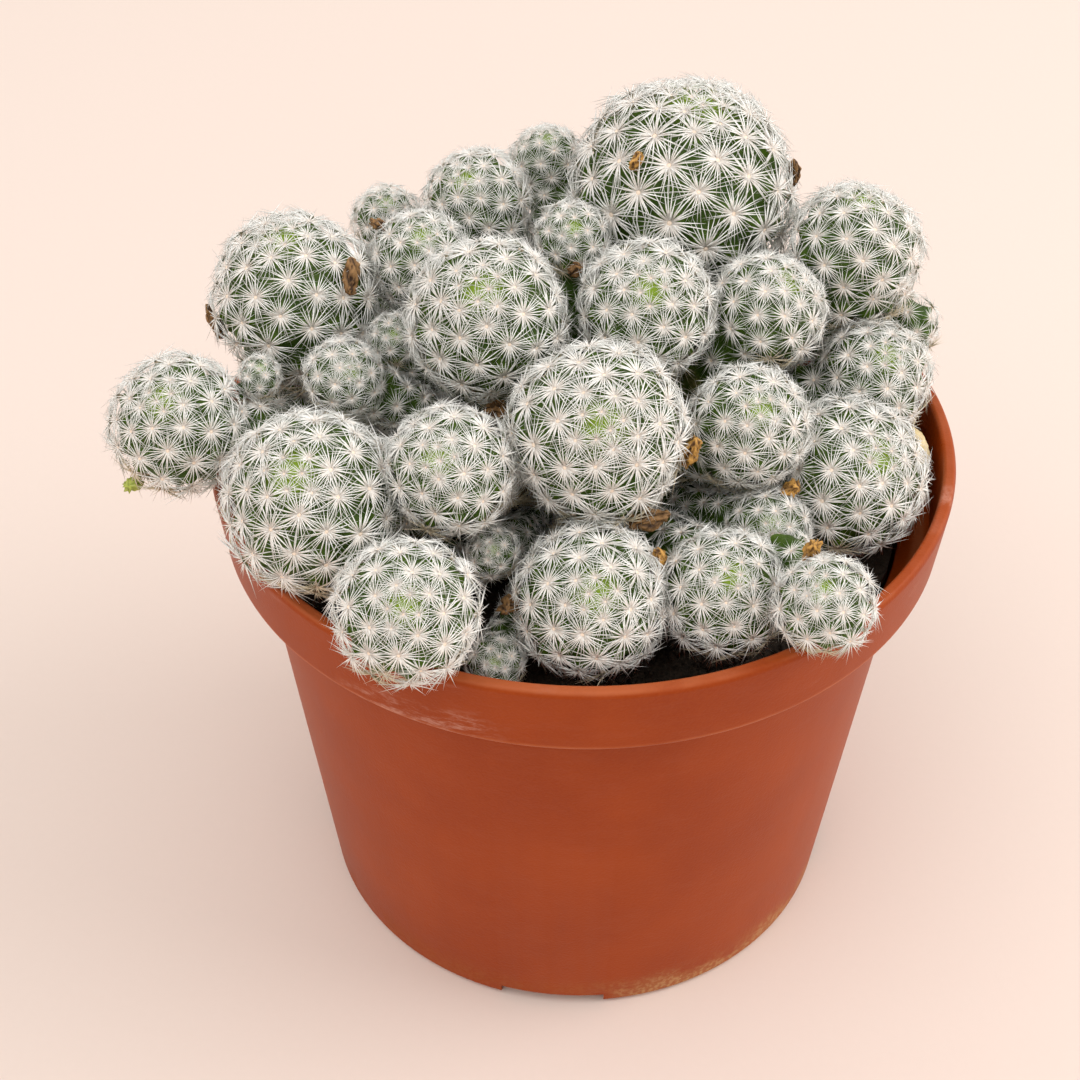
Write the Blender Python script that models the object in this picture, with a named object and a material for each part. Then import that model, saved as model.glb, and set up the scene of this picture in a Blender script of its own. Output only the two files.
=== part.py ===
"""A clump-forming round cactus in a plastic nursery pot.

The pot, the soil, each head of the clump and each dried flower is its own object. Lengths in the
tables are millimetres and become metres in MM. Bearings are degrees round the pot's axis from the
front (-Y) towards +X, and elevations are degrees above the horizontal.
"""

import math

import bmesh
import bpy
from mathutils import Matrix, Vector

MM = 0.001

# The pot's axis stands off the origin, which is the middle of the whole object's box.
POT_AXIS = Vector((5.6, 1.4, 0.0))
GAP = 0.35  # between pieces that touch

# Pot
POT_HEIGHT = 92.0
RIM_RADIUS = 60.0
RIM_DRAFT = 1.1  # the band narrows by this much from its top to its lower edge
BAND_HEIGHT = 12.9
WALL_TOP_RADIUS = 54.0
BASE_RADIUS = 46.0
WALL = 1.5
LIP_WIDTH = 2.2
FLOOR_UNDERSIDE = 2.0
FLOOR_TOP = 3.6
FOOT_WIDTH = 2.0
NOTCH_WIDTH = 18.0
NOTCH_HEIGHT = 2.6
NOTCH_BEARINGS = (-6.0, 84.0, 174.0, 264.0)
DRAIN_RADIUS = 4.0
DRAIN_RING_RADIUS = 30.0
DRAIN_COUNT = 6
POT_SEGMENTS = 60

# Soil
SOIL_EDGE = 79.0
SOIL_CROWN = 80.0
ROOT_DEPTH = 66.0
SOIL_SEGMENTS = 32

# The clump grows from a point low on its mother stem.
GROWTH_HEIGHT = 81.5
COLLAR_RADIUS = 9.0
MOTHER_WIDTH = 12.0
MOTHER_WAIST = 2.0
TAIL_SHARE = 0.88  # a stem's width at its head, against the head's
PUP_TAIL_SHARE = 0.5
THINNEST_TAIL = 0.8
SMALL_HEAD = 7.0  # heads below this radius have fewer faces
FLANK_ELEVATION = -12.0  # above this a head is round, whatever its flank

# name, bearing, reach from the pot's axis, height, radius, flank, tip elevation, tip bearing, parent
HEADS = (
    ("head_top", 151, 34.5, 117.5, 17.2, 4, 83, 120, "mother"),
    ("head_right_back", 109.5, 46.2, 116, 9.7, 2.5, 86, 110, "mother"),
    ("head_right", 94, 46.5, 99.5, 8.6, 0.5, 63, 25, "mother"),
    ("head_right_front", 69.5, 43.2, 94.2, 11.3, 2, 52, 40, "mother"),
    ("head_right_inner", 54, 30, 106, 8.3, 1.5, 57, 15, "mother"),
    ("head_middle", 3, 25, 110.5, 12.1, 1, 43, 5, "mother"),
    ("head_left_inner", -31, 38.5, 110, 8.4, 0, 51, -15, "mother"),
    ("head_left_front", -50, 52, 104.5, 12, 3, 60, -15, "mother"),
    ("head_over_rim", -76, 63.5, 104.5, 9.6, 0, 62, -15, "mother"),
    ("head_left_back", -102, 47, 111, 12.1, 2, 82, -65, "mother"),
    ("head_upper_left", -118, 29.5, 115, 7.3, 1, 66, 20, "mother"),
    ("head_back_left", -150, 34.5, 116, 8.0, 1, 60, -30, "mother"),
    ("head_back_pale", -138, 49, 108.5, 5.5, 0, 68, 10, "mother"),
    ("head_back_dark", -173, 45.5, 114.5, 6.0, 1, 83, 0, "mother"),
    ("head_upper_small", -173, 15, 118.5, 5.3, 0, 51, 0, "mother"),
    ("head_crown_left", -75, 15.5, 116, 11.2, 1, 59, -5, "mother"),
    ("head_crown_right", 83, 9.5, 115.5, 9.8, 0.5, 57, 0, "mother"),
    ("head_upper_right", 94, 28.5, 113.5, 8.0, 0.5, 63, 50, "mother"),
    ("head_front_left", -25, 59.5, 102, 9.2, 0, 49, 0, "head_left_front"),
    ("head_front", 0.5, 43, 94, 10.3, 1, 48, 5, "mother"),
    ("head_front_right", 26, 45.2, 93.2, 8.5, 1, 59, 10, "mother"),
    ("pup_on_rim", 34, 59.5, 99, 6.4, 0, 61, -30, "pup_gap_right"),
    ("pup_left", -76, 38, 109, 5.4, 0, 45, 25, "mother"),
    ("pup_front_upper", -21, 38.5, 97, 3.5, 0, 47, 0, "head_left_inner"),
    ("pup_front_lower", -15, 51.5, 88, 3.8, 0, 45, 0, "mother"),
    ("pup_far_left", -80, 50.5, 108.8, 2.9, 0, 66, 20, "head_over_rim"),
    ("pup_gap_left", -90, 29.5, 109, 4.0, 0, 53, 5, "mother"),
    ("pup_gap_right", 46, 38.5, 93.5, 5.7, 0, 47, 0, "mother"),
    ("pup_far_right", 107, 56, 101, 5.0, 0, 70, 30, "head_right_back"),
    ("head_rear_1", 128, 47, 95, 9.0, 1, 40, 128, "mother"),
    ("head_rear_2", 150, 47.5, 91, 9.0, 1, 35, 150, "mother"),
    ("head_rear_3", 173, 47, 93, 9.2, 1, 38, 173, "mother"),
    ("head_rear_4", -162, 47.5, 93, 9.2, 1, 35, -162, "mother"),
    ("head_rear_5", -139, 47.5, 92, 9.2, 1, 35, -139, "mother"),
    ("head_rear_6", -117, 48.5, 92, 8.2, 1, 35, -117, "mother"),
    ("pup_rear", 107, 50, 88.5, 6.0, 0, 30, 106, "mother"),
    ("head_low_left", -94, 47.5, 88.6, 7.9, 0, 35, -94, "mother"),
    ("pup_low_left", -70, 45, 86.9, 6.1, 0, 25, -70, "mother"),
    ("pup_low_front", -24, 28, 89.5, 4.0, 0, 50, -20, "mother"),
    ("pup_low_front_left", -37, 41, 86.8, 6.0, 0, 25, -37, "mother"),
)
MOTHER = "head_top"

# name, the head it lies on, bearing and elevation from that head's middle, turn, length, width, finish
REMNANTS = (
    ("dried_flower_1", "head_middle", 80, -6, 100, 6.0, 3.0, "golden"),
    ("dried_flower_2", "head_right_inner", 42, -34, 70, 3.6, 2.4, "golden"),
    ("dried_flower_3", "head_middle", 45, -42, 10, 7.6, 2.8, "brown"),
    ("dried_flower_4", "pup_on_rim", -159, 44, 80, 4.8, 2.6, "golden"),
    ("dried_flower_5", "head_front", 109, 26, 60, 3.8, 2.2, "red_brown"),
    ("dried_flower_6", "head_left_back", 60, 34, 60, 6.6, 2.6, "brown"),
    ("dried_flower_7", "head_top", -38, 42, 70, 3.4, 2.2, "golden"),
    ("dried_flower_8", "head_top", 82, 17, 100, 6.6, 2.4, "brown"),
    ("dried_flower_9", "head_crown_left", 9, -50, 20, 4.0, 2.6, "brown"),
    ("dried_flower_10", "head_upper_small", 4, -14, 40, 3.0, 2.0, "brown"),
    ("dried_flower_11", "head_front", -84, 2, 20, 6.4, 2.6, "brown"),
    ("dried_flower_12", "head_left_back", -74, -10, 90, 8.0, 2.0, "brown"),
    ("dried_flower_13", "head_upper_left", -110, 38, 30, 3.0, 2.2, "brown"),
    ("bud", "head_over_rim", -50, -36, 60, 3.2, 2.8, "green"),
)
# Stems that pass under a neighbour are slimmer: their width at the head, against the head's.
SLIM_STEMS = {
    "head_right_back": 0.55,
    "head_left_back": 0.55,
    "head_over_rim": 0.65,
    "head_upper_small": 0.65,
}
BARE_STEM = (86, 52.2, 87.4, 4.4, 7.7)  # bearing, reach, height, radius and half its height

SKIN_GREEN = (0.11, 0.19, 0.07)
POT_ORANGE = (0.39, 0.09, 0.035)
SOIL_BROWN = (0.03, 0.022, 0.017)
REMNANT_COLOURS = {
    "golden": (0.45, 0.23, 0.05),
    "brown": (0.12, 0.06, 0.025),
    "red_brown": (0.3, 0.08, 0.04),
    "green": (0.35, 0.42, 0.07),
}
BARE_STEM_YELLOW = (0.62, 0.5, 0.24)


def material(name, colour, roughness):
    made = bpy.data.materials.new(name)
    made.use_nodes = True
    shader = made.node_tree.nodes["Principled BSDF"]
    shader.inputs["Base Color"].default_value = (*colour, 1.0)
    shader.inputs["Roughness"].default_value = roughness
    shader.inputs["Metallic"].default_value = 0.0
    return made


def compass(bearing, elevation):
    """The unit vector at a bearing from the front and an elevation above the horizontal."""
    turn, rise = math.radians(bearing), math.radians(elevation)
    return Vector((math.sin(turn) * math.cos(rise), -math.cos(turn) * math.cos(rise), math.sin(rise)))


def around_pot(bearing, reach, height):
    return POT_AXIS + compass(bearing, 0.0) * reach + Vector((0.0, 0.0, height))


def as_object(name, mesh, finish, smooth=True):
    """A bmesh in millimetres becomes a finished object in metres."""
    bmesh.ops.scale(mesh, vec=(MM, MM, MM), verts=mesh.verts)
    bmesh.ops.recalc_face_normals(mesh, faces=mesh.faces)
    data = bpy.data.meshes.new(name)
    mesh.to_mesh(data)
    mesh.free()
    if smooth:
        data.shade_smooth()
    if finish:
        data.materials.append(finish)
    made = bpy.data.objects.new(name, data)
    bpy.context.scene.collection.objects.link(made)
    return made


def as_helper(made):
    made.hide_render = True
    made.display_type = "WIRE"
    return made


def boolean(target, operation, helper):
    step = target.modifiers.new(helper.name, "BOOLEAN")
    step.operation = operation
    step.object = helper
    step.solver = "EXACT"


def turned(outline, segments):
    """A closed ring turned round the pot's axis from an outline of (radius, height) points."""
    mesh = bmesh.new()
    corners = [mesh.verts.new((radius, 0.0, height)) for radius, height in outline]
    edges = [mesh.edges.new(pair) for pair in zip(corners, corners[1:])]
    if outline[0][0] > 0.0:
        edges.append(mesh.edges.new((corners[-1], corners[0])))
    bmesh.ops.spin(
        mesh,
        geom=corners + edges,
        cent=(0.0, 0.0, 0.0),
        axis=(0.0, 0.0, 1.0),
        dvec=(0.0, 0.0, 0.0),
        angle=math.tau,
        steps=segments,
        use_merge=True,
        use_duplicate=False,
    )
    bmesh.ops.remove_doubles(mesh, verts=mesh.verts, dist=1e-4)
    bmesh.ops.translate(mesh, vec=POT_AXIS, verts=mesh.verts)
    return mesh


def frustum(mesh, start, end, start_radius, end_radius, segments):
    """A closed tapered stick from start to end."""
    along = end - start
    turn = Vector((0.0, 0.0, 1.0)).rotation_difference(along).to_matrix().to_4x4()
    bmesh.ops.create_cone(
        mesh,
        cap_ends=True,
        segments=segments,
        radius1=start_radius,
        radius2=end_radius,
        depth=along.length,
        matrix=Matrix.Translation((start + end) / 2.0) @ turn,
    )


def band_radius(height):
    """The rim band's outer radius at a height."""
    return RIM_RADIUS - RIM_DRAFT * (POT_HEIGHT - height) / BAND_HEIGHT


def wall_radius(height):
    """The tapered wall's outer radius at a height."""
    band_foot = POT_HEIGHT - BAND_HEIGHT
    return BASE_RADIUS + (WALL_TOP_RADIUS - BASE_RADIUS) * height / band_foot


def make_pot(finish):
    band_foot = POT_HEIGHT - BAND_HEIGHT
    outline = (
        (BASE_RADIUS - FOOT_WIDTH - 0.8, 0.0),
        (BASE_RADIUS - 0.8, 0.0),
        (wall_radius(1.0), 1.0),
        (WALL_TOP_RADIUS, band_foot - 1.0),
        (WALL_TOP_RADIUS + 0.8, band_foot - 0.2),
        (band_radius(band_foot) - 0.6, band_foot),
        (band_radius(band_foot), band_foot + 0.6),
        (RIM_RADIUS, POT_HEIGHT - 0.9),
        (RIM_RADIUS - 0.4, POT_HEIGHT),
        (RIM_RADIUS - LIP_WIDTH + 0.4, POT_HEIGHT),
        (RIM_RADIUS - LIP_WIDTH, POT_HEIGHT - 0.6),
        (band_radius(band_foot) - WALL - 0.2, band_foot + 1.6),
        (WALL_TOP_RADIUS - WALL, band_foot - 1.6),
        (wall_radius(FLOOR_TOP) - WALL, FLOOR_TOP + 1.0),
        (wall_radius(FLOOR_TOP) - WALL - 1.0, FLOOR_TOP),
        (0.0, FLOOR_TOP),
        (0.0, FLOOR_UNDERSIDE),
        (BASE_RADIUS - FOOT_WIDTH - 1.2, FLOOR_UNDERSIDE),
    )
    pot = as_object("pot", turned(outline, POT_SEGMENTS), finish)
    cuts = bmesh.new()
    for bearing in NOTCH_BEARINGS:
        place = around_pot(bearing, BASE_RADIUS - 1.0, 0.0)
        box = bmesh.ops.create_cube(cuts, size=1.0)["verts"]
        bmesh.ops.scale(cuts, vec=(NOTCH_WIDTH, 8.0, 2.0 * NOTCH_HEIGHT), verts=box)
        bmesh.ops.rotate(cuts, matrix=Matrix.Rotation(math.radians(bearing), 3, "Z"), verts=box)
        bmesh.ops.translate(cuts, vec=place, verts=box)
    drains = [around_pot(360.0 * k / DRAIN_COUNT + 24.0, DRAIN_RING_RADIUS, 0.0) for k in range(DRAIN_COUNT)]
    for place in drains + [POT_AXIS]:
        top = place + Vector((0.0, 0.0, FLOOR_TOP + 3.0))
        frustum(cuts, place - Vector((0.0, 0.0, 3.0)), top, DRAIN_RADIUS, DRAIN_RADIUS, 12)
    boolean(pot, "DIFFERENCE", as_helper(as_object("pot_cuts", cuts, None, smooth=False)))
    pot.data.set_sharp_from_angle(angle=math.radians(35.0))


def make_soil(finish):
    band_foot = POT_HEIGHT - BAND_HEIGHT
    pit = COLLAR_RADIUS + GAP
    floor = FLOOR_TOP + GAP
    outline = (
        (0.0, floor),
        (wall_radius(FLOOR_TOP) - WALL - 1.0 - GAP, floor),
        (wall_radius(FLOOR_TOP) - WALL - GAP, floor + 1.0),
        (WALL_TOP_RADIUS - WALL - GAP, band_foot - 1.6),
        (WALL_TOP_RADIUS - WALL - GAP, SOIL_EDGE),
        (30.0, SOIL_CROWN - 0.2),
        (pit + 3.0, SOIL_CROWN),
        (pit, SOIL_CROWN - 0.5),
        (pit, ROOT_DEPTH - GAP),
        (0.0, ROOT_DEPTH - GAP),
    )
    as_object("soil", turned(outline, SOIL_SEGMENTS), finish)


def head_body(radius, flank, segments):
    """A round head about +Z: its upper half a hemisphere, its lower half let down by the flank."""
    mesh = bmesh.new()
    bmesh.ops.create_uvsphere(mesh, u_segments=segments, v_segments=8, radius=radius)
    lower = [vertex for vertex in mesh.verts if vertex.co.z < -0.1 * radius]
    bmesh.ops.translate(mesh, vec=(0.0, 0.0, -flank), verts=lower)
    return mesh


def make_head(row, places, finish):
    name, _, _, _, radius, flank, tip_elevation, tip_bearing, parent = row
    centre = places[name][0]
    mesh = head_body(radius, flank, 12 if radius > SMALL_HEAD else 10)
    tip = compass(tip_bearing, tip_elevation)
    turn = Vector((0.0, 0.0, 1.0)).rotation_difference(tip).to_matrix()
    bmesh.ops.rotate(mesh, matrix=turn, verts=mesh.verts)
    bmesh.ops.translate(mesh, vec=centre, verts=mesh.verts)
    made = as_object(name, mesh, finish)
    if name == MOTHER:
        stems = mother_stem(centre)
    else:
        origin, parent_radius, parent_flank = places[parent]
        clear = parent_radius + parent_flank
        is_pup = parent != "mother"
        share = PUP_TAIL_SHARE if is_pup else SLIM_STEMS.get(name, TAIL_SHARE)
        stems = [offset_stem(centre, radius, origin, clear, share, is_pup)]
    for number, stem in enumerate(stems):
        boolean(made, "UNION", as_helper(as_object(f"{name}_stem_{number}", stem, None)))


def offset_stem(centre, radius, origin, clear, share, is_pup):
    """An offset's own stem, which narrows to the surface that it grew from."""
    out = centre - origin
    foot = origin + out.normalized() * (clear + GAP)
    width = share * radius
    narrow = width if is_pup else max(THINNEST_TAIL, width * (clear + GAP) / out.length)
    stem = bmesh.new()
    frustum(stem, centre, foot, width, narrow, 10)
    return stem


def mother_stem(centre):
    """The pieces of the oldest stem: down from its own head to its collar, then into the soil."""
    growth = POT_AXIS + Vector((0.0, 0.0, GROWTH_HEIGHT))
    foot = POT_AXIS + Vector((0.0, 0.0, ROOT_DEPTH))
    upper, collar, root = (bmesh.new() for _ in range(3))
    frustum(upper, centre, growth, MOTHER_WIDTH, MOTHER_WAIST, 12)
    turn = Matrix.Translation(growth)
    bmesh.ops.create_uvsphere(collar, u_segments=12, v_segments=8, radius=COLLAR_RADIUS, matrix=turn)
    frustum(root, growth, foot, 0.97 * COLLAR_RADIUS, 0.8 * COLLAR_RADIUS, 12)
    return [upper, collar, root]


def make_remnant(row, places, finish):
    """A small shrivelled solid lying on a head, pointed at one end."""
    name, head, bearing, elevation, turn, length, width, _ = row
    centre, radius, flank = places[head]
    clear = radius if elevation > FLANK_ELEVATION else radius + flank
    out = compass(bearing, elevation)
    mesh = bmesh.new()
    bmesh.ops.create_icosphere(mesh, subdivisions=1, radius=0.5)
    bmesh.ops.scale(mesh, vec=(length, width, width), verts=mesh.verts)
    level = Vector((0.0, 0.0, 1.0)).cross(out).normalized()
    basis = Matrix((level, out.cross(level), out)).transposed()
    bmesh.ops.rotate(mesh, matrix=basis @ Matrix.Rotation(math.radians(turn), 3, "Z"), verts=mesh.verts)
    sag = clear - math.sqrt(clear * clear - length * length / 4.0)
    lift = clear + GAP + width / 2.0 - 0.2 * sag
    bmesh.ops.translate(mesh, vec=centre + out * lift, verts=mesh.verts)
    as_object(name, mesh, finish)


def make_bare_stem(finish):
    """An old stem with no spines left, which shows between a head and the rim."""
    bearing, reach, height, radius, half_height = BARE_STEM
    centre = around_pot(bearing, reach, height)
    mesh = head_body(radius, 0.0, 10)
    bmesh.ops.scale(mesh, vec=(1.0, 1.0, half_height / radius), verts=mesh.verts)
    bmesh.ops.translate(mesh, vec=centre, verts=mesh.verts)
    as_object("bare_stem", mesh, finish)


def main():
    for old in list(bpy.data.objects):
        bpy.data.objects.remove(old)
    skin = material("cactus_skin", SKIN_GREEN, 0.5)
    make_pot(material("pot_plastic", POT_ORANGE, 0.4))
    make_soil(material("soil", SOIL_BROWN, 0.95))
    places = {"mother": (POT_AXIS + Vector((0.0, 0.0, GROWTH_HEIGHT)), COLLAR_RADIUS, 0.0)}
    for name, bearing, reach, height, radius, flank, *_ in HEADS:
        places[name] = (around_pot(bearing, reach, height), radius, flank)
    for row in HEADS:
        make_head(row, places, skin)
    dried = {name: material("dried_" + name, colour, 0.8) for name, colour in REMNANT_COLOURS.items()}
    for row in REMNANTS:
        make_remnant(row, places, dried[row[-1]])
    make_bare_stem(material("bare_stem", BARE_STEM_YELLOW, 0.7))


main()
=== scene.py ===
"""Looks of a clump-forming round cactus in a plastic nursery pot.

Lengths are metres. Every head of the clump gets a knobbly skin and its stars of spines, which are
worked out from the head's own solid. "Tip" is a head's growing point, and an areole is the woolly
cushion on a knob that the spines grow from.
"""

import math
import random

import bmesh
import bpy
import numpy as np
from mathutils import Matrix, Vector, noise
from mathutils.bvhtree import BVHTree
from mathutils.kdtree import KDTree


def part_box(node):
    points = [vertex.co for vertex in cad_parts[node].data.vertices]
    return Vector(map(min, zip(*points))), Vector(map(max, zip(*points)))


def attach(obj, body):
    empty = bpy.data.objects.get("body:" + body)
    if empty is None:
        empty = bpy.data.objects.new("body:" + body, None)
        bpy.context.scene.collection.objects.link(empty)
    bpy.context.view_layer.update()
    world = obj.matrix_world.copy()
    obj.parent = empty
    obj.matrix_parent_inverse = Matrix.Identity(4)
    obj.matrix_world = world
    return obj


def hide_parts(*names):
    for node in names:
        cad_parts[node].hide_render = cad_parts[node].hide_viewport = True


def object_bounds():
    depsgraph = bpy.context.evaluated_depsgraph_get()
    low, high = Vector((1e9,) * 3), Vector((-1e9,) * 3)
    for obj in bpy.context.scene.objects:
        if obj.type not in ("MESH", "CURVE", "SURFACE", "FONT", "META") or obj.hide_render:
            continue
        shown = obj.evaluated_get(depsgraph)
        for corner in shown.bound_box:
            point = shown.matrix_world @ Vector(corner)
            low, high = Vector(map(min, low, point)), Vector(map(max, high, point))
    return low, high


MM = 0.001
UP = Vector((0.0, 0.0, 1.0))
GOLDEN_ANGLE = math.pi * (3.0 - math.sqrt(5.0))

# Skin
POLE_FACES = 10  # a head's solid has at least this many faces round its tip
RING_STEP = math.pi / 8.0  # from the tip to the first ring of corners of that solid
FINEST_SKIN = 13.0  # a small head's radius, in steps of its skin's grid
SKIN_GRID = 0.9 * MM
UNEVENNESS = 0.06  # of a head's reach, so that no two heads are the same round
SPIRAL_END = math.radians(100.0)  # knobs lie on a spiral down to here, and irregularly below
SCATTER_GAP = 0.86  # between irregular areoles, against the spacing on the spiral
KNOB_REACH = 0.62  # these three are shares of the areoles' spacing
KNOB_HEIGHT = 0.28
VALLEY_DEPTH = 0.19
YOUNG_ZONE = (math.radians(4.0), math.radians(28.0))  # the fresh green fades out over this
CORKY_ZONE = (math.radians(118.0), math.radians(160.0))
CORKY_SHARE = 0.85
PUP_CORKY_SHARE = 0.2

# Spines
STAR_PITCH = 5.0 * MM  # the spacing of areoles that the star shapes are drawn for
STAR_KINDS = 5
STAR_SIZES = (0.92, 1.1)
STAR_LIFT = 0.045  # above the knob, as a share of the spacing
STAR_LEAN = 0.12  # towards the head's tip
SPINE_WIDTH = 0.23 * MM
SPINE_LENGTHS = (3.4, 5.2)  # mm
INNER_LENGTHS = (1.4, 2.2)  # mm, of the few that stand up in a star's middle
YOUNG_LENGTH = 0.85
SPINE_RISES = (2.0, 26.0)  # degrees above the skin
YOUNG_RISES = (16.0, 48.0)
INNER_RISES = (38.0, 68.0)
SPINE_DROOPS = (8.0, 34.0)  # degrees that a spine bends down over its length
SPINE_JOINTS = (0.28, 0.72)  # the shares of a spine's foot and of the rest
SPINE_TAPER = 0.9
WOOL_RADIUS = 0.44 * MM
SIGHT_WAYS = 90  # directions, all round and from above, that decide what can be seen
SIGHT_STEP = 2.4 * MM
TIP_YOUNG = math.radians(17.0)
WORN_FLANK = (112.0, 160.0)  # degrees from the tip, between which the spines turn old
UNDERSIDE = (-0.9, -0.3)  # how far a normal points down where they turn old

# Dried flowers
DARKER_FLOWERS = (3, 6, 8, 9, 10, 11, 12, 13)

# Pot
POT_CORNERS = 60  # the solid of the pot is turned with this many corners
FACET_CUTS = 3
POT_TOP = 92.0  # mm
BAND_HEIGHT = 12.9  # mm, of the wider band under the lip
EDGE_ROUND = 0.3 * MM
UPPER_EDGES = 20.0 * MM  # how far below the top the rounded edges go

# Soil
CRUMB_KINDS = 6
CRUMB_COUNT = 1500
CRUMB_SIZES = (0.35, 1.35)  # mm

# Stage
FLAT_REACH = 1.8
SWEEP_RADIUS = 2.0
SWEEP_STEPS = 8
SWEEP_STEP = math.pi / 24.0
LAMP_TARGET = (0.0, 0.0, 0.08)
LAMP_COLOUR = (1.0, 0.99, 0.98)
CAMERA_TARGET = Vector((-1.3, 1.4, 68.0)) * MM
CAMERA_DISTANCE = 0.324
CAMERA_ELEVATION = math.radians(41.2)

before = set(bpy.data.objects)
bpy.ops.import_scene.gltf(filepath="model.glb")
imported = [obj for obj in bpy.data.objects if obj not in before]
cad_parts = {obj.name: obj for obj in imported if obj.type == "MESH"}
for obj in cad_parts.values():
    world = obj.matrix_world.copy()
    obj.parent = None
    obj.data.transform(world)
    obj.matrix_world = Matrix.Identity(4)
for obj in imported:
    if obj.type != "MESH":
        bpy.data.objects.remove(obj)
cad_low, cad_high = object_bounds()
dice = random.Random(41)


def smooth(value, low, high):
    share = np.clip((value - low) / (high - low), 0.0, 1.0)
    return share * share * (3.0 - 2.0 * share)


# Shader building ---------------------------------------------------------------------------------


class Value:
    """A shader socket that takes part in Python's arithmetic, each step of which adds a node."""

    def __init__(self, finish, socket):
        self.finish = finish
        self.socket = socket

    def maths(self, operation, *others):
        sockets = dict(enumerate((self, *others)))
        return self.finish.add("ShaderNodeMath", {"operation": operation}, sockets)

    def reflected(self, operation, first):
        return self.finish.add("ShaderNodeMath", {"operation": operation}, {0: first, 1: self})

    def __add__(self, other):
        return self.maths("ADD", other)

    def __radd__(self, other):
        return self.reflected("ADD", other)

    def __sub__(self, other):
        return self.maths("SUBTRACT", other)

    def __rsub__(self, other):
        return self.reflected("SUBTRACT", other)

    def __mul__(self, other):
        return self.maths("MULTIPLY", other)

    def __rmul__(self, other):
        return self.reflected("MULTIPLY", other)

    def size(self):
        return self.maths("ABSOLUTE")

    def step(self, low, high):
        """0 below low, 1 above high and a smooth rise between them."""
        places = {"Value": self, "From Min": low, "From Max": high}
        return self.finish.add("ShaderNodeMapRange", {"interpolation_type": "SMOOTHSTEP"}, places)


class Finish:
    """A material, with a Principled shader whose constants are set by name."""

    def __init__(self, name, **constants):
        self.material = bpy.data.materials.new(name)
        self.material.use_nodes = True
        self.nodes = self.material.node_tree.nodes
        self.links = self.material.node_tree.links
        self.shader = self.nodes["Principled BSDF"]
        for socket, value in constants.items():
            place = self.shader.inputs[socket.replace("_", " ")]
            place.default_value = (*value, 1.0) if socket == "Base_Color" else value

    def add(self, kind, settings=None, sockets=None, out=0):
        """A node of that kind: its settings first, then the values or links of its sockets."""
        node = self.nodes.new(kind)
        for name, value in (settings or {}).items():
            setattr(node, name, value)
        for place, value in (sockets or {}).items():
            if isinstance(value, Value):
                self.links.new(value.socket, node.inputs[place])
            else:
                node.inputs[place].default_value = value
        return Value(self, node.outputs[out])

    def here(self):
        return self.add("ShaderNodeTexCoord", out="Object")

    def place(self, axis):
        return self.add("ShaderNodeSeparateXYZ", sockets={0: self.here()}, out=axis)

    def height(self):
        return self.place("Z")

    def attribute(self, name):
        return self.add("ShaderNodeAttribute", {"attribute_name": name}, out="Fac")

    def noise(self, size, detail=3.0, roughness=0.55, stretch=(1.0, 1.0, 1.0)):
        """Clouds from 0 to 1, about that many metres across."""
        scale = tuple(s / size for s in stretch)
        place = self.add("ShaderNodeMapping", sockets={0: self.here(), "Scale": scale})
        sockets = {"Vector": place, "Scale": 1.0, "Detail": detail, "Roughness": roughness}
        return self.add("ShaderNodeTexNoise", sockets=sockets)

    def cells(self, size):
        """Distance from the nearest of scattered points that lie about that many metres apart."""
        sockets = {"Vector": self.here(), "Scale": 1.0 / size}
        return self.add("ShaderNodeTexVoronoi", {"feature": "F1"}, sockets)

    def mix(self, share, first, second):
        """From the first colour to the second as the share goes from 0 to 1."""
        first, second = ((*c, 1.0) if isinstance(c, tuple) else c for c in (first, second))
        return self.add("ShaderNodeMix", {"data_type": "RGBA"}, {0: share, 6: first, 7: second}, out=2)

    def bump(self, height, distance):
        sockets = {"Height": height, "Distance": distance, "Strength": 1.0}
        return self.add("ShaderNodeBump", sockets=sockets)

    def feed(self, **values):
        for socket, value in values.items():
            self.links.new(value.socket, self.shader.inputs[socket.replace("_", " ")])


# Finishes ----------------------------------------------------------------------------------------


def skin_finish():
    """Green flesh: painted shade darkens it between the knobs; fresh at the tips and corky low down."""
    finish = Finish("cactus_skin", Specular_IOR_Level=0.25)
    knob, young, cork = (finish.attribute(name) for name in ("knob", "young", "cork"))
    clouds = finish.noise(3.0 * MM)
    grain = finish.noise(0.35 * MM, detail=2.0)
    # Painted shade: the green darkens from each knob's top down into the valleys between the knobs.
    green = finish.mix(knob.step(0.05, 0.95), (0.030, 0.072, 0.003), (0.11, 0.205, 0.014))
    green = finish.mix(clouds.step(0.35, 0.75) * 0.5, green, (0.085, 0.135, 0.014))
    green = finish.mix(young * 0.95, green, (0.25, 0.38, 0.02))
    bark = finish.mix(grain.step(0.3, 0.7), (0.16, 0.095, 0.04), (0.36, 0.26, 0.13))
    patches = (cork + (clouds - 0.5) * 0.9).step(0.35, 0.75)
    finish.feed(
        Base_Color=finish.mix(patches, green, bark),
        Roughness=patches * 0.3 + grain * 0.14 + 0.42,
        Normal=finish.bump(grain + clouds * 0.5, 0.12 * MM),
    )
    return finish.material


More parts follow.
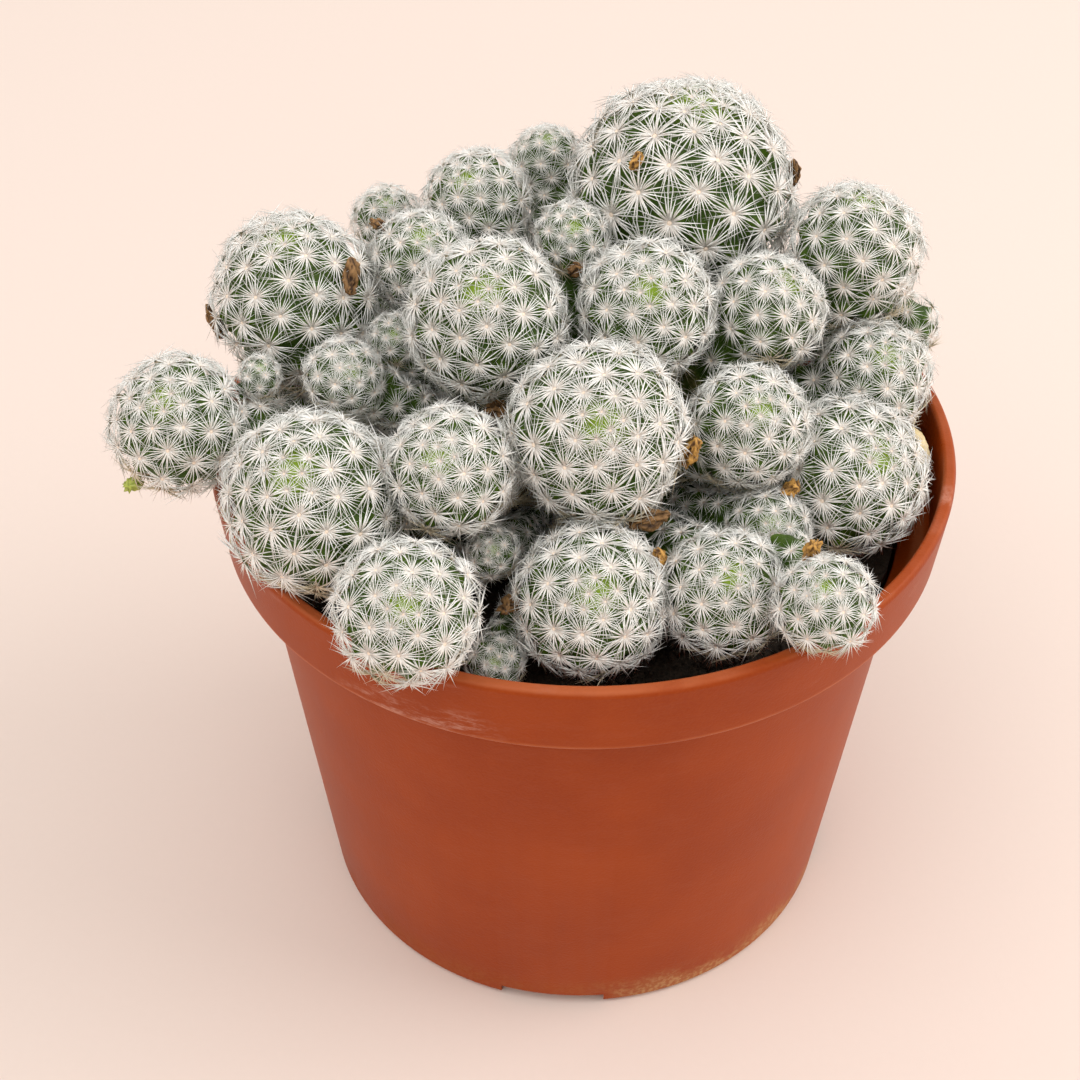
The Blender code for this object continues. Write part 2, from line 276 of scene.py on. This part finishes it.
def pot_finish():
    """Moulded terracotta-coloured plastic: scuffed on its band, with painted highlights along its edges,
    soiled at its foot.
    """
    finish = Finish("pot_plastic", Specular_IOR_Level=0.14)
    height, across, depth = finish.height(), finish.place("X"), finish.place("Y")
    front = 1.0 - depth.step(-20.0 * MM, 0.0)
    clouds = finish.noise(26.0 * MM, detail=4.0)
    drawn = finish.noise(5.0 * MM, detail=3.0, stretch=(1.0, 1.0, 0.12))
    fine = finish.noise(0.45 * MM, detail=2.0)
    colour = finish.mix(clouds.step(0.3, 0.75), (0.275, 0.036, 0.0015), (0.332, 0.049, 0.003))
    colour = finish.mix(fine.step(0.3, 0.7) * 0.22, colour, (0.37, 0.068, 0.009))
    colour = finish.mix(drawn.step(0.45, 0.85) * 0.18, colour, (0.24, 0.034, 0.004))
    foot_line = (POT_TOP - BAND_HEIGHT) * MM
    # Painted highlights: a lighter line along the band's lower edge and along the lip's top edge, broken up
    # by noise.
    painted_edge_highlight = (1.0 - (height - foot_line - 0.5 * MM).size().step(0.2 * MM, 0.9 * MM)) * 0.40
    painted_edge_highlight = painted_edge_highlight + height.step(POT_TOP * MM - 0.7 * MM, POT_TOP * MM - 0.2 * MM) * 0.30
    colour = finish.mix(painted_edge_highlight * finish.noise(14.0 * MM).step(0.25, 0.65), colour, (0.62, 0.21, 0.09))
    marks = finish.noise(3.2 * MM, detail=6.0, roughness=0.75, stretch=(0.4, 0.4, 1.5)).step(0.48, 0.66)
    handled = across.step(-34.0 * MM, -24.0 * MM) * (1.0 - across.step(-14.0 * MM, -4.0 * MM)) * front
    handled = handled * height.step(78.5 * MM, 80.0 * MM) * (1.0 - height.step(81.5 * MM, 86.0 * MM))
    knocked = finish.noise(17.0 * MM, detail=2.0).step(0.55, 0.70) * height.step(80.0 * MM, 84.0 * MM)
    scuffs = marks * (handled * 0.38 + knocked * 0.3 + 0.012)
    colour = finish.mix(scuffs, colour, (0.72, 0.45, 0.36))
    splashed = across.step(0.0, 22.0 * MM) * front * 0.45 + 0.10
    dusty = (1.0 - height.step(2.0 * MM, 9.0 * MM)) * finish.noise(7.0 * MM, detail=5.0).step(0.36, 0.60)
    crumbs = finish.noise(0.9 * MM, detail=3.0).step(0.40, 0.62)
    colour = finish.mix(dusty * splashed * (crumbs * 0.8 + 0.5), colour, (0.50, 0.30, 0.13))
    finish.feed(
        Base_Color=colour,
        Roughness=fine * 0.10 + clouds * 0.08 + scuffs * 0.3 + dusty * 0.15 + 0.34,
        Normal=finish.bump(fine + drawn * 1.2, 0.05 * MM),
    )
    return finish.material


def soil_finish():
    finish = Finish("potting_soil", Specular_IOR_Level=0.25)
    crumbs = finish.cells(1.6 * MM)
    grain = finish.noise(0.6 * MM, detail=4.0)
    colour = finish.mix(grain.step(0.3, 0.75), (0.018, 0.013, 0.009), (0.085, 0.058, 0.038))
    colour = finish.mix(crumbs.step(0.0, 0.6) * 0.6, colour, (0.03, 0.021, 0.014))
    finish.feed(
        Base_Color=colour,
        Roughness=grain * 0.3 + 0.65,
        Normal=finish.bump(grain - crumbs, 0.5 * MM),
    )
    return finish.material


def dried_finish(name, pale, dark):
    """Papery remains of a flower, with painted shade in their folds and paler ribs."""
    finish = Finish(name, Specular_IOR_Level=0.3)
    ribs = finish.attribute("rib")
    blotches = finish.noise(1.1 * MM, detail=4.0)
    fibres = finish.noise(0.22 * MM, detail=3.0)
    # Painted shade: darker where the husk folds in and paler where it swells out, mixed with real blotches.
    colour = finish.mix((ribs * 0.7 + blotches * 0.7).step(0.35, 0.95), dark, pale)
    finish.feed(
        Base_Color=finish.mix(fibres.step(0.55, 0.8) * 0.4, colour, dark),
        Roughness=fibres * 0.3 + 0.5,
        Normal=finish.bump(fibres, 0.08 * MM),
    )
    return finish.material


def bare_stem_finish():
    finish = Finish("bare_stem", Specular_IOR_Level=0.35)
    clouds = finish.noise(2.4 * MM, detail=4.0)
    fibres = finish.noise(0.5 * MM, detail=4.0, stretch=(1.0, 1.0, 0.3))
    colour = finish.mix(clouds.step(0.3, 0.7), (0.62, 0.47, 0.22), (0.80, 0.68, 0.42))
    colour = finish.mix(fibres.step(0.55, 0.75) * 0.5, colour, (0.40, 0.26, 0.10))
    finish.feed(
        Base_Color=colour,
        Roughness=fibres * 0.3 + 0.45,
        Normal=finish.bump(fibres + clouds, 0.15 * MM),
    )
    return finish.material


def stage_finish():
    finish = Finish("pale_floor", Specular_IOR_Level=0.15)
    fibres = finish.noise(1.5 * MM, detail=3.0)
    finish.feed(
        Base_Color=finish.mix(fibres, (0.735, 0.617, 0.548), (0.75, 0.632, 0.563)),
        Roughness=fibres * 0.1 + 0.75,
    )
    return finish.material


def spine_finishes():
    """Wool, spine feet, spines and old spines, in the order of the stars' material slots."""
    return [
        Finish("areole_wool", Base_Color=(0.93, 0.77, 0.62), Roughness=0.8, Sheen_Weight=0.3).material,
        Finish("spine_feet", Base_Color=(0.96, 0.91, 0.85), Roughness=0.5).material,
        Finish("spines", Base_Color=(0.97, 0.96, 0.92), Roughness=0.42).material,
        Finish("old_spines", Base_Color=(0.72, 0.62, 0.45), Roughness=0.5).material,
    ]


# Mesh helpers ------------------------------------------------------------------------------------


def as_piece(name, mesh, finishes, replaced=(), smooth_faces=True):
    """A bmesh becomes a finished piece of the object."""
    data = bpy.data.meshes.new(name)
    mesh.to_mesh(data)
    mesh.free()
    for finish in finishes:
        data.materials.append(finish)
    if smooth_faces:
        data.shade_smooth()
    piece = bpy.data.objects.new(name, data)
    bpy.context.scene.collection.objects.link(piece)
    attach(piece, "root")
    if replaced:
        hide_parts(*replaced)
    return piece


def merged(node):
    """A copy of a node's triangles with their corners joined."""
    mesh = bmesh.new()
    mesh.from_mesh(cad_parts[node].data)
    bmesh.ops.remove_doubles(mesh, verts=mesh.verts, dist=0.02 * MM)
    return mesh


def evened(mesh, grid, passes):
    """The bmesh rebuilt on an even grid, with its facets smoothed away."""
    data = bpy.data.meshes.new("evened")
    mesh.to_mesh(data)
    mesh.free()
    helper = bpy.data.objects.new("evened", data)
    bpy.context.scene.collection.objects.link(helper)
    rebuild = helper.modifiers.new("rebuild", "REMESH")
    rebuild.mode = "VOXEL"
    rebuild.voxel_size = grid
    melt = helper.modifiers.new("melt", "SMOOTH")
    melt.factor = 0.5
    melt.iterations = passes
    graph = bpy.context.evaluated_depsgraph_get()
    made = bpy.data.meshes.new_from_object(helper.evaluated_get(graph))
    bpy.data.objects.remove(helper)
    return made


def points_of(data):
    found = np.empty(len(data.vertices) * 3, np.float32)
    data.vertices.foreach_get("co", found)
    return found.reshape(-1, 3).astype(float)


def normals_of(data):
    found = np.empty(len(data.vertices) * 3, np.float32)
    data.vertex_normals.foreach_get("vector", found)
    return found.reshape(-1, 3).astype(float)


def write_points(data, points):
    data.vertices.foreach_set("co", points.astype(np.float32).ravel())
    data.update()


def write_share(data, name, values):
    attribute = data.attributes.new(name, "FLOAT", "POINT")
    attribute.data.foreach_set("value", np.asarray(values, np.float32))


def tree_of(data):
    return BVHTree.FromPolygons(
        [v.co for v in data.vertices], [tuple(p.vertices) for p in data.polygons]
    )


# Heads -------------------------------------------------------------------------------------------


class Head:
    """What a head's solid says: its tip, axis, middle and radius."""

    def __init__(self, name):
        self.name = name
        self.is_pup = name.startswith("pup_")
        mesh = merged(name)
        poles = [v for v in mesh.verts if len(v.link_faces) >= POLE_FACES and self.even(v)]
        tip = max(poles, key=lambda v: v.co.z)
        ring = [edge.other_vert(tip).co for edge in tip.link_edges]
        middle = sum(ring, Vector()) / len(ring)
        self.axis = (tip.co - middle).normalized()
        self.radius = (ring[0] - tip.co).length / (2.0 * math.sin(RING_STEP / 2.0))
        self.middle = tip.co - self.axis * self.radius
        self.pitch = 1.16 * MM * (self.radius / MM) ** 0.6
        mesh.free()

    @staticmethod
    def even(vertex):
        lengths = [edge.calc_length() for edge in vertex.link_edges]
        return max(lengths) < 1.03 * min(lengths)

    def angle_from_tip(self, points):
        out = points - np.array(self.middle)
        along = out @ np.array(self.axis) / np.linalg.norm(out, axis=1)
        return np.arccos(np.clip(along, -1.0, 1.0))

    def pitch_at(self, angle):
        """Areoles crowd together at the tip, and spread where the head is widest."""
        grown = float(smooth(angle, 0.0, math.radians(44.0)))
        spread = float(smooth(angle, math.radians(52.0), math.radians(96.0)))
        return self.pitch * (0.44 + 0.56 * grown + 0.10 * spread)


def places_in_sight(surroundings):
    """Where parallel rays from all round and above land, in a tree."""
    middle = (Vector(cad_low) + Vector(cad_high)) / 2.0
    reach = (Vector(cad_high) - Vector(cad_low)).length / 2.0
    steps = range(-int(reach / SIGHT_STEP), int(reach / SIGHT_STEP) + 1)
    landed = []
    for number in range(SIGHT_WAYS):
        rise = math.asin(-0.15 + 1.15 * (number + 0.5) / SIGHT_WAYS)
        out = Vector((math.cos(rise), 0.0, math.sin(rise)))
        out.rotate(Matrix.Rotation(number * GOLDEN_ANGLE, 3, "Z"))
        side = out.orthogonal().normalized() * SIGHT_STEP
        up = out.cross(side)
        for i in steps:
            row = middle + out * 2.0 * reach + side * i
            for j in steps:
                place = surroundings.ray_cast(row + up * j, -out)[0]
                if place:
                    landed.append(place)
    tree = KDTree(len(landed))
    for number, place in enumerate(landed):
        tree.insert(place, number)
    tree.balance()
    return tree


def in_sight(point, sights):
    return sights.find(point)[2] < SIGHT_STEP


def spiral_areoles(head, surface, sights, offset):
    """Areoles on the golden-angle spiral from the tip down, as (place, normal, angle, pitch)."""
    side = head.axis.orthogonal().normalized()
    found = []
    angle = 0.5 * head.pitch_at(0.0) / head.radius
    number = 0
    while angle < SPIRAL_END:
        turn = Matrix.Rotation(offset + number * GOLDEN_ANGLE, 3, head.axis)
        jitter = dice.uniform(-0.05, 0.05) * head.pitch / head.radius
        way = head.axis * math.cos(angle + jitter) + (turn @ side) * math.sin(angle + jitter)
        place, normal, _, _ = surface.ray_cast(head.middle, way)
        pitch = head.pitch_at(angle)
        if place and in_sight(place, sights):
            found.append((place, normal, angle, pitch))
        cell = math.sqrt(3.0) / 2.0 * (pitch / head.radius) ** 2
        angle += cell / (math.tau * math.sin(angle))
        number += 1
    return found


def scattered_areoles(head, points, normals, angles, areoles, sights):
    """Areoles on the flanks and the stem, wherever there is room."""
    gap = SCATTER_GAP * head.pitch
    cells = {}

    def cell_of(point):
        return tuple(math.floor(c / gap) for c in point)

    def remember(point):
        cells.setdefault(cell_of(point), []).append(point)

    def crowded(point):
        x, y, z = cell_of(point)
        near = (
            other
            for i in (x - 1, x, x + 1)
            for j in (y - 1, y, y + 1)
            for k in (z - 1, z, z + 1)
            for other in cells.get((i, j, k), ())
        )
        return any((other - point).length < gap for other in near)

    for place, *_ in areoles:
        remember(place)
    order = [int(i) for i in np.nonzero(angles > SPIRAL_END - 0.1)[0]]
    dice.shuffle(order)
    found = []
    for i in order:
        place, normal = Vector(points[i]), Vector(normals[i])
        if crowded(place):
            continue
        remember(place)
        if in_sight(place, sights):
            found.append((place, normal, float(angles[i]), head.pitch))
    return found


def knobbly(head, data, areoles):
    """Raises a knob under every areole and writes the shares that the skin's colours follow."""
    points, normals = points_of(data), normals_of(data)
    angles = head.angle_from_tip(points)
    tree = KDTree(len(areoles))
    for number, (place, *_) in enumerate(areoles):
        tree.insert(place, number)
    tree.balance()
    knob = np.zeros(len(points))
    pitches = np.full(len(points), head.pitch)
    for i, point in enumerate(points):
        _, number, distance = tree.find(point)
        pitches[i] = areoles[number][3]
        knob[i] = max(0.0, 1.0 - distance / (KNOB_REACH * pitches[i]))
    knob = knob * knob * (1.6 - 0.6 * knob)
    points += normals * (pitches * (KNOB_HEIGHT * knob - VALLEY_DEPTH))[:, None]
    write_points(data, points)
    corky = PUP_CORKY_SHARE if head.is_pup else CORKY_SHARE
    # The knob share also sets the painted shade between the knobs in the skin's finish.
    write_share(data, "knob", knob)
    write_share(data, "young", 1.0 - smooth(angles, *YOUNG_ZONE))
    write_share(data, "cork", smooth(angles, *CORKY_ZONE) * corky)


def grown(head, data, number):
    """Brings the upper half of an evened head back to its round, then makes the whole a little uneven."""
    points = points_of(data)
    angles = head.angle_from_tip(points)
    out = points - np.array(head.middle)
    reach = np.linalg.norm(out, axis=1)
    share = 1.0 - smooth(angles, math.radians(80.0), math.radians(108.0))
    wanted = reach + (head.radius - reach) * share
    spots = out * (1.4 / head.radius) + number * 7.0
    uneven = np.array([noise.noise(Vector(spot)) for spot in spots])
    wanted *= 1.0 + UNEVENNESS * uneven
    write_points(data, np.array(head.middle) + out * (wanted / reach)[:, None])


def make_head(name, number, finishes, sights):
    head = Head(name)
    data = evened(merged(name), min(SKIN_GRID, head.radius / FINEST_SKIN), 14)
    grown(head, data, number)
    surface = tree_of(data)
    areoles = spiral_areoles(head, surface, sights, number * 1.7)
    points, normals = points_of(data), normals_of(data)
    angles = head.angle_from_tip(points)
    areoles += scattered_areoles(head, points, normals, angles, areoles, sights)
    knobbly(head, data, areoles)
    mesh = bmesh.new()
    mesh.from_mesh(data)
    as_piece(name + "_skin", mesh, [finishes["skin"]], replaced=[name])
    make_spines(head, areoles, finishes)


# Spines ------------------------------------------------------------------------------------------


def needle(mesh, base, turn, rise, length, droop, slots):
    """One spine: a three-sided needle that leaves its foot at a rise and bends down by the droop."""
    start = bmesh.ops.create_circle(mesh, cap_ends=True, segments=3, radius=SPINE_WIDTH / 2.0)["verts"]
    faces = {face for vertex in start for face in vertex.link_faces}
    heading = Matrix.Rotation(turn, 3, "Z") @ Matrix.Rotation(math.pi / 2.0 - rise, 3, "Y")
    bmesh.ops.rotate(mesh, matrix=heading, verts=start)
    bmesh.ops.translate(mesh, vec=base, verts=start)
    edges = list({edge for vertex in start for edge in vertex.link_edges})
    centre = Vector(base)
    for number, share in enumerate(SPINE_JOINTS):
        out = bmesh.ops.extrude_edge_only(mesh, edges=edges)["geom"]
        verts = [item for item in out if isinstance(item, bmesh.types.BMVert)]
        edges = [item for item in out if isinstance(item, bmesh.types.BMEdge)]
        sides = [item for item in out if isinstance(item, bmesh.types.BMFace)]
        bend = rise - droop * (number + 0.5) / len(SPINE_JOINTS)
        way = Vector((math.cos(turn) * math.cos(bend), math.sin(turn) * math.cos(bend), math.sin(bend)))
        bmesh.ops.translate(mesh, vec=way * length * share, verts=verts)
        centre += way * length * share
        about = Matrix.Translation(-centre)
        bmesh.ops.scale(mesh, vec=(SPINE_TAPER, SPINE_TAPER, SPINE_TAPER), space=about, verts=verts)
        for face in sides:
            face.material_index = slots[0] if number == 0 else slots[1]
    bmesh.ops.pointmerge(mesh, verts=verts, merge_co=centre)
    for face in faces:
        face.material_index = slots[0]


def star(kind, spines, inner, slots, young=False, wool_rounds=2):
    """An areole's wool and its star of spines, standing on +Z and drawn for the usual pitch."""
    chance = random.Random(kind)
    mesh = bmesh.new()
    wool = bmesh.ops.create_icosphere(mesh, subdivisions=wool_rounds, radius=WOOL_RADIUS)["verts"]
    bmesh.ops.scale(mesh, vec=(1.0, 1.0, 0.8), verts=wool)
    bmesh.ops.translate(mesh, vec=(0.0, 0.0, 0.25 * MM), verts=wool)
    for face in mesh.faces:
        face.material_index = 0
    for number in range(spines + inner):
        is_inner = number >= spines
        turn = math.tau * (number + chance.uniform(-0.35, 0.35)) / (inner if is_inner else spines)
        rises = INNER_RISES if is_inner else YOUNG_RISES if young else SPINE_RISES
        rise = math.radians(chance.uniform(*rises))
        length = chance.uniform(*(INNER_LENGTHS if is_inner else SPINE_LENGTHS))
        if young:
            length *= YOUNG_LENGTH
        droop = math.radians(chance.uniform(*SPINE_DROOPS))
        base = Vector((math.cos(turn), math.sin(turn), 0.0)) * 0.3 * MM + UP * 0.5 * MM
        needle(mesh, base, turn, rise, length * MM, droop, slots)
    bmesh.ops.recalc_face_normals(mesh, faces=mesh.faces)
    made = bpy.data.meshes.new(f"star_{kind}")
    mesh.to_mesh(made)
    mesh.free()
    return made


def make_stars():
    """The star shapes that the areoles share. Those of flanks and stems are plainer."""
    return {
        "grown": [star(kind, 32 + kind, 5, (1, 2)) for kind in range(STAR_KINDS)],
        "young": [star(20 + kind, 22, 3, (1, 2), young=True) for kind in range(STAR_KINDS)],
        "flank": [star(40 + kind, 27, 3, (1, 2), wool_rounds=1) for kind in range(STAR_KINDS)],
        "old": [star(60 + kind, 22, 2, (3, 3), wool_rounds=1) for kind in range(STAR_KINDS)],
    }


def make_spines(head, areoles, finishes):
    mesh = bmesh.new()
    for place, normal, angle, pitch in areoles:
        age = "young" if angle < TIP_YOUNG else "grown" if angle < SPIRAL_END else "flank"
        is_worn = not head.is_pup and angle > math.radians(dice.uniform(*WORN_FLANK))
        if is_worn or normal.z < dice.uniform(*UNDERSIDE):
            age = "old"
        copy = dice.choice(finishes["stars"][age]).copy()
        size = math.sqrt(pitch * head.pitch) / STAR_PITCH * dice.uniform(*STAR_SIZES)
        out = (normal + head.axis * STAR_LEAN).normalized()
        stand = UP.rotation_difference(out).to_matrix().to_4x4()
        spin = Matrix.Rotation(dice.uniform(0.0, math.tau), 4, "Z")
        lift = Matrix.Translation(place + normal * STAR_LIFT * pitch)
        copy.transform(lift @ stand @ spin @ Matrix.Scale(size, 4))
        mesh.from_mesh(copy)
        bpy.data.meshes.remove(copy)
    as_piece(head.name + "_spines", mesh, finishes["spines"])


# Small pieces ------------------------------------------------------------------------------------


def make_remnant(node, finish):
    """A shrivelled flower: a pleated, twisted husk that fills its node's place."""
    source = merged(node)
    middle = sum((v.co for v in source.verts), Vector()) / len(source.verts)
    far = max(source.verts, key=lambda v: (v.co - middle).length)
    length = (far.co - middle).length * 2.0
    along = (far.co - middle).normalized()
    width = 2.0 * min((v.co - middle).length for v in source.verts)
    source.free()
    chance = random.Random(node)
    mesh = bmesh.new()
    bmesh.ops.create_icosphere(mesh, subdivisions=4, radius=0.5)
    pleats, twist, lean = chance.choice((3, 4)), chance.uniform(-1.8, 1.8), chance.uniform(0.0, math.tau)
    ribs = []
    for vertex in mesh.verts:
        x, y, z = vertex.co * 2.0
        turn = math.atan2(z, y) + twist * x + lean
        rib = 0.5 + 0.5 * math.cos(pleats * turn)
        spot = vertex.co * 2.0 + Vector((lean, twist, 0.0))
        rough = noise.noise(spot * 1.4)
        crumple = 1.0 - 2.5 * abs(noise.noise(spot * 3.2))
        ragged = 1.0 + 0.9 * max(0.0, x) * noise.noise(spot * 4.5)
        swell = (0.72 + 0.26 * rib + 0.28 * crumple) * (1.0 + 0.65 * rough) * ragged
        bend = 0.22 * math.sin(2.2 * x + lean)
        across = width / 2.0 * swell
        vertex.co = Vector((x * length / 2.0, y * across * 1.05 + bend * width / 2.0, z * across * 0.72))
        # This share follows the husk's pleats and crumples; the finish paints shade in the folds from it.
        ribs.append(0.45 * rib + 0.55 * crumple)
    turn = Vector((1.0, 0.0, 0.0)).rotation_difference(along).to_matrix()
    bmesh.ops.rotate(mesh, matrix=turn, verts=mesh.verts)
    bmesh.ops.translate(mesh, vec=middle, verts=mesh.verts)
    piece = as_piece(node + "_husk", mesh, [finish], replaced=[node])
    write_share(piece.data, "rib", ribs)


def make_pot(finish):
    """The pot with its facets turned into true rounds and its edges softened."""
    low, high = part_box("pot")
    axis = (low + high) / 2.0
    mesh = merged("pot")
    bmesh.ops.dissolve_limit(mesh, angle_limit=0.01, verts=mesh.verts, edges=mesh.edges)
    half = math.pi / POT_CORNERS
    for facet in range(POT_CORNERS // 2):
        for cut in range(1, FACET_CUTS):
            turn = 2.0 * half * (facet + cut / FACET_CUTS)
            across = Vector((-math.sin(turn), math.cos(turn), 0.0))
            whole = [*mesh.verts, *mesh.edges, *mesh.faces]
            bmesh.ops.bisect_plane(mesh, geom=whole, dist=0.001 * MM, plane_co=axis, plane_no=across)
    for vertex in mesh.verts:
        out = vertex.co - axis
        turn = math.atan2(out.y, out.x) % (2.0 * half) - half
        share = math.cos(turn) / math.cos(half)
        vertex.co.x = axis.x + out.x * share
        vertex.co.y = axis.y + out.y * share
    corners = [edge for edge in mesh.edges if is_upper_corner(edge, high.z)]
    bmesh.ops.bevel(
        mesh, geom=corners, offset=EDGE_ROUND, segments=2, profile=0.5, affect="EDGES", material=-1
    )
    pot = as_piece("pot_shell", mesh, [finish], replaced=["pot"])
    pot.data.set_sharp_from_angle(angle=math.radians(50.0))
    pot.modifiers.new("even_shading", "WEIGHTED_NORMAL").keep_sharp = True


def is_upper_corner(edge, top):
    """True for the level edges of the lip and the band, where the wall turns."""
    if len(edge.link_faces) != 2:
        return False
    first, second = (vertex.co.z for vertex in edge.verts)
    level = abs(first - second) < 0.01 * MM
    return level and first > top - UPPER_EDGES and edge.calc_face_angle() > math.radians(20.0)


def make_bare_stem(finish):
    """The old stem without spines: a wrinkled, slightly lumpy round end."""
    data = evened(merged("bare_stem"), 0.35 * MM, 10)
    points, normals = points_of(data), normals_of(data)
    lumps = np.array([noise.fractal(Vector(p) / (2.2 * MM), 0.7, 2.0, 3) for p in points])
    write_points(data, points + normals * (0.22 * MM * lumps - 0.05 * MM)[:, None])
    mesh = bmesh.new()
    mesh.from_mesh(data)
    as_piece("bare_stem_end", mesh, [finish], replaced=["bare_stem"])


def make_soil_crumbs(finish):
    """Loose crumbs scattered over the soil."""
    low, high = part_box("soil")
    centre = (low + high) / 2.0
    reach = (high.x - low.x) / 2.0 - 2.0 * MM
    kinds = []
    for kind in range(CRUMB_KINDS):
        chance = random.Random(60 + kind)
        mesh = bmesh.new()
        bmesh.ops.create_icosphere(mesh, subdivisions=1, radius=1.0)
        for vertex in mesh.verts:
            vertex.co *= chance.uniform(0.7, 1.15)
        data = bpy.data.meshes.new(f"crumb_{kind}")
        mesh.to_mesh(data)
        mesh.free()
        kinds.append(data)
    mesh = bmesh.new()
    for _ in range(CRUMB_COUNT):
        out = reach * math.sqrt(dice.random())
        turn = dice.uniform(0.0, math.tau)
        size = dice.uniform(*CRUMB_SIZES) * MM
        place = Vector((centre.x + out * math.cos(turn), centre.y + out * math.sin(turn), high.z - 0.1 * MM))
        spin = Matrix.Rotation(dice.uniform(0.0, math.tau), 4, (dice.random(), dice.random(), 1.0))
        stretch = Matrix.Diagonal((1.0, dice.uniform(0.6, 1.0), dice.uniform(0.5, 0.9), 1.0))
        copy = dice.choice(kinds).copy()
        copy.transform(Matrix.Translation(place) @ spin @ stretch @ Matrix.Scale(size, 4))
        mesh.from_mesh(copy)
        bpy.data.meshes.remove(copy)
    as_piece("soil_crumbs", mesh, [finish], smooth_faces=False)


# Stage -------------------------------------------------------------------------------------------


def make_floor():
    """A pale disc that curves up all round, far away."""
    mesh = bmesh.new()
    chain = [mesh.verts.new((0.0, 0.0, 0.0)), mesh.verts.new((FLAT_REACH, 0.0, 0.0))]
    for step in range(1, SWEEP_STEPS + 1):
        turn = step * SWEEP_STEP
        rise = Vector((math.sin(turn), 0.0, 1.0 - math.cos(turn))) * SWEEP_RADIUS
        chain.append(mesh.verts.new(rise + Vector((FLAT_REACH, 0.0, 0.0))))
    edges = [mesh.edges.new(pair) for pair in zip(chain, chain[1:])]
    centre = (0.0, 0.0, 0.0)
    whole = [*chain, *edges]
    bmesh.ops.spin(mesh, geom=whole, axis=UP, cent=centre, angle=math.tau, steps=64, use_merge=True)
    bmesh.ops.remove_doubles(mesh, verts=mesh.verts, dist=MM)
    bmesh.ops.recalc_face_normals(mesh, faces=mesh.faces)
    data = bpy.data.meshes.new("floor")
    mesh.to_mesh(data)
    mesh.free()
    data.shade_smooth()
    data.materials.append(stage_finish())
    floor = bpy.data.objects.new("floor", data)
    bpy.context.scene.collection.objects.link(floor)


def aimed(kind, name, place, target):
    """A camera or a light at a place, looking at its target."""
    made = bpy.data.objects.new(name, kind)
    made.location = place
    made.rotation_euler = (Vector(target) - Vector(place)).to_track_quat("-Z", "Y").to_euler()
    bpy.context.scene.collection.objects.link(made)
    return made


def soft_light(name, place, size, power):
    lamp = bpy.data.lights.new(name, "AREA")
    lamp.shape = "DISK"
    lamp.size = size
    lamp.energy = power
    lamp.color = LAMP_COLOUR
    aimed(lamp, name, place, LAMP_TARGET)


def make_stage():
    make_floor()
    soft_light("window", (1.1, -0.02, 0.82), 1.0, 8.5)
    soft_light("front", (-0.45, -0.6, 1.35), 1.1, 6.0)
    world = bpy.data.worlds.new("studio")
    world.use_nodes = True
    air = world.node_tree.nodes["Background"]
    air.inputs["Color"].default_value = (1.0, 0.985, 0.97, 1.0)
    air.inputs["Strength"].default_value = 1.02
    bpy.context.scene.world = world
    bpy.context.scene.view_settings.view_transform = "Standard"


def make_camera():
    back = Vector((0.0, -math.cos(CAMERA_ELEVATION), math.sin(CAMERA_ELEVATION)))
    place = CAMERA_TARGET + back * CAMERA_DISTANCE
    lens = bpy.data.cameras.new("camera")
    lens.sensor_width = 36.0
    lens.lens = 63.3
    lens.clip_start = 0.01
    bpy.context.scene.camera = aimed(lens, "camera", place, CAMERA_TARGET)


# The whole ---------------------------------------------------------------------------------------


def whole_tree():
    """Every CAD node's faces in one tree, for asking what hides what."""
    corners, faces = [], []
    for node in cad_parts.values():
        first = len(corners)
        corners += [v.co.copy() for v in node.data.vertices]
        faces += [tuple(first + i for i in p.vertices) for p in node.data.polygons]
    return BVHTree.FromPolygons(corners, faces)


def dress(node, finish):
    """Gives a node that stays as it is its finish."""
    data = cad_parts[node].data
    data.materials.clear()
    data.materials.append(finish)


def main():
    make_camera()
    make_stage()
    sights = places_in_sight(whole_tree())
    finishes = {"skin": skin_finish(), "spines": spine_finishes(), "stars": make_stars()}
    heads = sorted(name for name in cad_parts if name.startswith(("head_", "pup_")))
    for number, name in enumerate(heads):
        make_head(name, number, finishes, sights)
    golden = dried_finish("dried_golden", (0.62, 0.33, 0.08), (0.10, 0.045, 0.015))
    brown = dried_finish("dried_brown", (0.30, 0.16, 0.06), (0.05, 0.025, 0.012))
    darker = {f"dried_flower_{number}" for number in DARKER_FLOWERS}
    for node in sorted(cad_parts):
        if node.startswith("dried_flower"):
            make_remnant(node, brown if node in darker else golden)
    make_remnant("bud", dried_finish("bud_green", (0.45, 0.52, 0.10), (0.25, 0.30, 0.05)))
    make_bare_stem(bare_stem_finish())
    soil = soil_finish()
    dress("soil", soil)
    make_soil_crumbs(soil)
    make_pot(pot_finish())


main()
